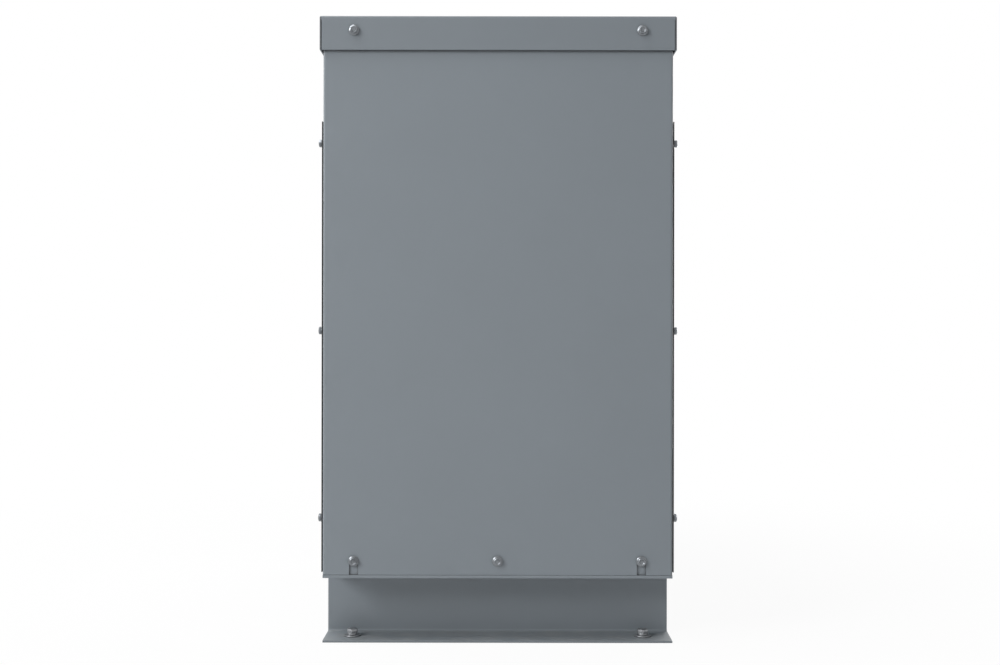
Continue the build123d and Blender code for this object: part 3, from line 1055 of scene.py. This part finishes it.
SCREW = FlangeScrew()
FOOT_BOLT = HexBolt(
    "foot_bolt", 14.3 * MM, 6.4 * MM, 12.0 * MM, 2.0 * MM, 4.76 * MM, below=2.9 * MM, spring_height=2.4 * MM
)
ROD_NUT = HexBolt("rod_nut", 19.0 * MM, 10.0 * MM, 13.0 * MM, 2.2 * MM, 5.9 * MM, above=9.0 * MM)
PAD_BOLT = HexBolt("pad_bolt", 16.0 * MM, 6.8 * MM, 11.0 * MM, 2.0 * MM, 5.0 * MM)
BAR_BOLT = HexBolt("bar_bolt", 14.3 * MM, 6.2 * MM, 10.0 * MM, 1.8 * MM, 4.76 * MM, spring_height=2.2 * MM)
BOARD_NUT = HexBolt("board_nut", 14.3 * MM, 8.0 * MM, 10.0 * MM, 1.8 * MM, 4.76 * MM, above=4.0 * MM)
TAP_STUD = HexBolt(
    "tap_stud",
    9.5 * MM,
    4.6 * MM,
    6.4 * MM,
    1.2 * MM,
    3.1 * MM,
    above=5.0 * MM,
    finish=BRASS,
    slot="bar_copper",
)


# Sub-assemblies


@dataclass
class Housing:
    """The sheet-metal housing with the screws that hold its panels, hood and covers."""

    screw_inset: float = 45.0 * MM
    panel_screw_rise: float = 19.9 * MM
    hood_screw_drop: float = 21.0 * MM
    hood_sheet: float = 2.1 * MM
    cover_screw_inset: float = 12.0 * MM
    cover_screw_drop: float = 30.5 * MM
    cover_screw_rise: float = 78.0 * MM
    cover_screws: int = 3
    sheet_edge: float = 0.15 * MM
    # The hood's paint is darkened by this share as painted shade.
    hood_painted_shade: float = -0.05
    hood_gloss: Span = (0.58, 0.7)

    def build(self) -> None:
        """Dresses the sheet metal and sets its screws."""
        dress(PAINT, *named(ENDS, ["panel"]), "floor_plate", *named(SIDES, ["header", "sill"]))
        dress(SEAL_FOAM, *named(SIDES, ["seal"]))
        hood_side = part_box("hood")[1].x - self.hood_sheet
        # Painted shade: the hood is a darker copy of the housing paint, and its lip ends are painted darker
        # as shaded.
        hood_darker_colour = lighter(PAINT.colour, self.hood_painted_shade)
        dress(PowderCoat("hood_paint", hood_darker_colour, self.hood_gloss, lip_shade=hood_side), "hood")
        low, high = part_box("left_cover")
        half = (high.y - self.sheet_edge, (high.z - low.z) / 2 - self.sheet_edge)
        # The covers get a nearly black band round their edges.
        cover = PowderCoat("cover_paint", PAINT.colour, edge_band=((low.z + high.z) / 2, *half))
        dress(cover, *named(SIDES, ["cover"]))
        for end, facing in zip(ENDS, (Facing.FRONT, Facing.REAR)):
            self.end_screws(end, facing)
        for side, facing in zip(SIDES, (Facing.LEFT, Facing.RIGHT)):
            self.cover_row(side, facing)

    def end_screws(self, end: str, facing: Facing) -> None:
        """Sets the screws in one end panel and in the hood's lip over it.

        Args:
            end: Which end.
            facing: The way that it faces.
        """
        low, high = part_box(f"{end}_panel")
        hood_low, hood_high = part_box("hood")
        panel_y, hood_y = (low.y, hood_low.y) if facing is Facing.FRONT else (high.y, hood_high.y)
        across = high.x - self.screw_inset
        height = low.z + self.panel_screw_rise
        SCREW.fit(f"{end}_panel_screws", [Vector((x * across, panel_y, height)) for x in (-1, 0, 1)], facing)
        height = hood_high.z - self.hood_screw_drop
        SCREW.fit(f"{end}_hood_screws", [Vector((x * across, hood_y, height)) for x in (-1, 1)], facing)

    def cover_row(self, side: str, facing: Facing) -> None:
        """Sets the screws down both edges of one side cover.

        Args:
            side: Which side.
            facing: The way that it faces.
        """
        low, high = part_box(f"{side}_cover")
        x = low.x if facing is Facing.LEFT else high.x
        y = high.y - self.cover_screw_inset
        top, bottom = high.z - self.cover_screw_drop, low.z + self.cover_screw_rise
        heights = [bottom + (top - bottom) * i / (self.cover_screws - 1) for i in range(self.cover_screws)]
        places = [Vector((x, end * y, z)) for end in (-1, 1) for z in heights]
        SCREW.fit(f"{side}_cover_screws", places, facing)


@dataclass
class Base:
    """The folded rails with the bolts that hold their feet down."""

    anchor_side_inset: float = 40.0 * MM
    anchor_inset: float = 29.0 * MM
    foot: float = 3.0 * MM
    bolt_turn: float = math.radians(4.0)

    def build(self) -> None:
        """Dresses the rails and sets the foot bolts."""
        dress(BASE_PAINT, *named(ENDS, ["rail"]))
        for end in ENDS:
            low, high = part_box(f"{end}_rail")
            x = high.x - self.anchor_side_inset
            y = low.y + self.anchor_inset if end == "front" else high.y - self.anchor_inset
            places = [Vector((side * x, y, self.foot)) for side in (-1, 1)]
            FOOT_BOLT.fit(f"{end}_foot_bolts", places, Facing.UP, self.bolt_turn)


@dataclass
class CoreAndCoils:
    """The laminated core in its clamps, with its coils, rods, nuts, cross studs and pads."""

    clamp_sheet: float = 5.0 * MM
    stud_gap: float = 20.0 * MM
    stud_radius: float = 5.9 * MM

    def build(self) -> None:
        """Dresses the core, its clamps and its coils, and sets what holds them together."""
        dress(CORE_STEEL, *named(LEVELS, ["yoke"]), *named(PHASES, ["core_leg"]))
        dress(OUTER_WRAP, *named(PHASES, ["outer_coil"]))
        dress(INNER_WRAP, *named(PHASES, ["inner_coil"]))
        dress(PRESSBOARD, *named(LEVELS, ["coil_blocks"]))
        dress(CLAMP_PAINT, *named(LEVELS, SIDES, ["clamp"]))
        dress(BRACKET_ZINC, *named(ENDS, SIDES, ["tie_rod"]))
        dress(PAD_RUBBER, *named(ENDS, SIDES, ["pad"]))
        self.rod_nuts_and_pad_bolts()
        self.cross_studs()

    def rod_nuts_and_pad_bolts(self) -> None:
        """Sets a nut on each end of the tie rods and a bolt over each pad, on the clamps' flanges."""
        upper, lower, pads = [], [], []
        for corner in named(ENDS, SIDES):
            low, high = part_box(f"{corner}_tie_rod")
            middle = (low + high) / 2
            upper.append(Vector((middle.x, middle.y, high.z + self.clamp_sheet)))
            lower.append(Vector((middle.x, middle.y, low.z - self.clamp_sheet)))
            low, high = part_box(f"{corner}_pad")
            middle = (low + high) / 2
            pads.append(Vector((middle.x, middle.y, high.z + self.clamp_sheet)))
        ROD_NUT.fit("upper_rod_nuts", upper, Facing.UP)
        ROD_NUT.fit("lower_rod_nuts", lower, Facing.DOWN)
        PAD_BOLT.fit("pad_bolts", pads, Facing.UP)

    def cross_studs(self) -> None:
        """Sets the studs that draw each pair of clamps together beyond the ends of the yokes."""
        studs, nuts_left, nuts_right = [], [], []
        for level in LEVELS:
            low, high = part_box(f"{level}_left_clamp")
            yoke_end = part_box(f"{level}_yoke")[1].y
            web = high.x - self.clamp_sheet
            height = (low.z + high.z) / 2
            for end in (-1, 1):
                y = end * (yoke_end + self.stud_gap)
                outline = [(0, web), (self.stud_radius, web), (self.stud_radius, -web), (0, -web)]
                stud = turned("cross_stud", outline, 20)
                stud.matrix_world = Matrix.Translation((0, y, height)) @ Facing.RIGHT.turn()
                settle(stud)
                studs.append(stud)
                nuts_left.append(Vector((web, y, height)))
                nuts_right.append(Vector((-web, y, height)))
        show(joined("cross_studs", studs), BRACKET_ZINC)
        ROD_NUT.fit("left_stud_nuts", nuts_left, Facing.LEFT)
        ROD_NUT.fit("right_stud_nuts", nuts_right, Facing.RIGHT)


@dataclass
class Terminals:
    """The terminal bars on their board, and the tap boards, with their bolts, nuts and studs."""

    bolt_drops: tuple[float, ...] = (18.0 * MM, 52.0 * MM)
    bracket_foot: float = 16.0 * MM
    bracket_sheet: float = 4.0 * MM
    bracket_spacing: float = 190.0 * MM
    stud_rows: int = 6
    stud_pitch: float = 24.0 * MM
    stud_column: float = 15.0 * MM
    link_row: int = 2
    link_sheet: float = 1.2 * MM
    link_width: float = 12.0 * MM
    link_round: float = 0.45

    def build(self) -> None:
        """Dresses the bars and boards and sets their fasteners."""
        dress(BUS, *named(PHASES, ["terminal_bar"]))
        dress(BOARD_RED, "terminal_board", "tap_boards")
        dress(BRACKET_ZINC, "board_brackets")
        self.bar_bolts()
        self.bracket_bolts()
        self.tap_studs()

    def bar_bolts(self) -> None:
        """Sets two bolts through each bar and the board, with nuts behind."""
        board_low, board_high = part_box("terminal_board")
        heads, nuts = [], []
        for phase in PHASES:
            low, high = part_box(f"{phase}_terminal_bar")
            y = (low.y + high.y) / 2
            for drop in self.bolt_drops:
                heads.append(Vector((high.x, y, board_high.z - drop)))
                nuts.append(Vector((board_low.x, y, board_high.z - drop)))
        BAR_BOLT.fit("bar_bolts", heads, Facing.RIGHT)
        BOARD_NUT.fit("bar_nuts", nuts, Facing.LEFT)

    def bracket_bolts(self) -> None:
        """Sets the bolts that hold the board to its brackets and the brackets to the clamp."""
        low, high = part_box("board_brackets")
        board_low, board_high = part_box("terminal_board")
        middle = (low.y + high.y) / 2
        feet, faces = [], []
        for end in (-1, 1):
            y = middle + end * self.bracket_spacing / 2
            feet.append(Vector((low.x + self.bracket_foot, y, low.z + self.bracket_sheet)))
            faces.append(Vector((board_high.x, y, (board_low.z + board_high.z) / 2)))
        PAD_BOLT.fit("bracket_foot_bolts", feet, Facing.UP)
        BAR_BOLT.fit("bracket_face_bolts", faces, Facing.RIGHT)

    def tap_studs(self) -> None:
        """Sets two rows of brass studs on each tap board, with a link across one pair."""
        low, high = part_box("tap_boards")
        middle = (low.z + high.z) / 2
        studs, links = [], []
        for phase in PHASES:
            coil_low, coil_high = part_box(f"{phase}_outer_coil")
            y = (coil_low.y + coil_high.y) / 2
            for row in range(self.stud_rows):
                z = middle + (row - (self.stud_rows - 1) / 2) * self.stud_pitch
                studs += [Vector((low.x, y + column * self.stud_column, z)) for column in (-1, 1)]
                if row == self.link_row:
                    links.append(self.tap_link(Vector((low.x, y, z))))
        TAP_STUD.fit("tap_studs", studs, Facing.LEFT)
        show(joined("tap_links", links), BUS)

    def tap_link(self, place: Vector) -> Object:
        """Makes the flat link that joins two studs.

        Args:
            place: The middle of the link on the board's face.

        Returns:
            The link, its ends rounded and its edges eased.
        """
        choose()
        bpy.ops.mesh.primitive_cube_add(size=1, location=place - Vector((self.link_sheet / 2, 0, 0)))
        link = fresh("tap_link")
        link.scale = (self.link_sheet, 2 * self.stud_column + self.link_width, self.link_width)
        settle(link)
        with editing(link, Pick.EDGES):
            bpy.ops.mesh.select_all(action="DESELECT")
            shape = bmesh.from_edit_mesh(link.data)
            for edge in shape.edges:
                along = edge.verts[0].co - edge.verts[1].co
                edge.select_set(math.hypot(along.y, along.z) < MERGE_DISTANCE)
            bmesh.update_edit_mesh(link.data)
            bpy.ops.mesh.bevel(offset=self.link_width * self.link_round, segments=5, affect="EDGES")
        close_up(link)
        return link


# Studio


@dataclass(frozen=True)
class SoftLamp:
    """A large soft lamp that looks at the middle of the transformer."""

    name: str
    place: Place
    size: float
    power: float
    target: Place = (0.0, -0.2, 0.45)

    def build(self) -> None:
        """Adds the lamp."""
        bpy.ops.object.light_add(type="AREA", location=self.place)
        lamp = bpy.context.active_object
        lamp.name = self.name
        lamp.data.shape = "DISK"
        lamp.data.size = self.size
        lamp.data.energy = self.power
        way = Vector(self.target) - Vector(self.place)
        lamp.rotation_euler = way.to_track_quat("-Z", "Y").to_euler()


@dataclass
class Studio:
    """The white floor and world, the soft lamps and the camera."""

    lamps: tuple[SoftLamp, ...] = (
        SoftLamp("key_lamp", (-5.0, -3.9, 3.2), 2.8, 275.0),
        SoftLamp("front_lamp", (-0.45, -2.4, 0.62), 0.9, 1.5),
        SoftLamp("fill_lamp", (0.25, -2.9, 0.5), 1.2, 1.2),
        SoftLamp("overhead_lamp", (-0.95, -0.5, 2.5), 1.6, 33.0),
        SoftLamp("rear_right_lamp", (2.0, 3.0, 0.9), 2.0, 80.0, (0.0, 0.2, 0.45)),
        SoftLamp("rear_left_lamp", (-2.4, 2.6, 1.8), 2.6, 30.0, (0.0, 0.2, 0.45)),
    )
    ambient: float = 0.08
    floor_radius: float = 9.0
    floor_white: float = 0.94
    floor_tones: tuple[Colour, Colour] = ((0.86, 0.86, 0.86), (0.9, 0.9, 0.9))
    floor_rough: float = 0.8
    fade: Span = (0.5, 1.6)
    camera_place: Place = (0.0031, -2.1255, 0.4504)
    camera_roll: float = -math.radians(0.085)
    lens_mm: float = 43.9
    sensor_mm: float = 36.0
    clip: Span = (0.05, 60.0)

    def build(self) -> None:
        """Builds the studio."""
        self.floor()
        self.world()
        for lamp in self.lamps:
            lamp.build()
        self.camera()

    def seen_directly(self, nodes: Nodes) -> Socket:
        """Returns 1 for camera rays and for what metal and glass show, and 0 for other light.

        Args:
            nodes: The nodes of the floor or the world.

        Returns:
            The mask.
        """
        path = nodes.add("LightPath").outputs
        shown = nodes.math("MAXIMUM", path["Is Camera Ray"], path["Is Glossy Ray"])
        return nodes.math("MAXIMUM", shown, path["Is Transmission Ray"])

    def floor(self) -> None:
        """Lays a pale floor that shows the soft shadow and fades to plain white further out."""
        bpy.ops.mesh.primitive_circle_add(vertices=96, radius=self.floor_radius, fill_type="NGON")
        floor = fresh("floor")
        nodes = Surface("pale_floor")
        speckle = nodes.noise(60.0, nodes.place(), detail=3.0)
        nodes.feed(nodes.shader.inputs["Base Color"], nodes.blend(speckle, *self.floor_tones))
        nodes.plain("Roughness", self.floor_rough)
        glow = nodes.add("Emission", {"Color": WHITE})
        away = nodes.add("VectorMath", {0: nodes.place()}, operation="LENGTH").outputs["Value"]
        white = nodes.ranged(away, *self.fade, self.floor_white, 1.0)
        share = nodes.math("MULTIPLY", white, self.seen_directly(nodes))
        mixed = nodes.add("MixShader", {0: share, 1: nodes.shader.outputs[0], 2: glow.outputs[0]})
        nodes.feed(nodes.output.inputs["Surface"], mixed.outputs[0])
        floor.data.materials.append(nodes.material)

    def world(self) -> None:
        """Makes a world that shows white and lights the object softly and evenly."""
        world = bpy.data.worlds.new("white_world")
        bpy.context.scene.world = world
        world.use_nodes = True
        nodes = Nodes(world.node_tree)
        strength = nodes.spread(self.seen_directly(nodes), self.ambient, 1.0)
        white = nodes.add("Background", {"Color": WHITE, "Strength": strength})
        nodes.add("OutputWorld", {"Surface": white.outputs[0]})

    def camera(self) -> None:
        """Sets the camera straight in front of the plain end panel, at the photograph's distance."""
        bpy.ops.object.camera_add(location=self.camera_place, rotation=(math.pi / 2, self.camera_roll, 0))
        camera = bpy.context.active_object
        camera.name = "photo_camera"
        camera.data.lens = self.lens_mm
        camera.data.sensor_width = self.sensor_mm
        camera.data.clip_start, camera.data.clip_end = self.clip
        bpy.context.scene.camera = camera


@dataclass
class Transformer:
    """The whole transformer, sub-assembly by sub-assembly."""

    housing: Housing = field(default_factory=Housing)
    base: Base = field(default_factory=Base)
    core: CoreAndCoils = field(default_factory=CoreAndCoils)
    terminals: Terminals = field(default_factory=Terminals)

    def build(self) -> None:
        """Builds every sub-assembly in order."""
        for assembly in (self.housing, self.base, self.core, self.terminals):
            assembly.build()
        clear_masters()


def main() -> None:
    logging.basicConfig(level=logging.INFO, format="%(name)s: %(message)s")
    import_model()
    bpy.context.scene.view_settings.view_transform = "Standard"
    Transformer().build()
    Studio().build()
    choose()


if __name__ == "__main__":
    main()
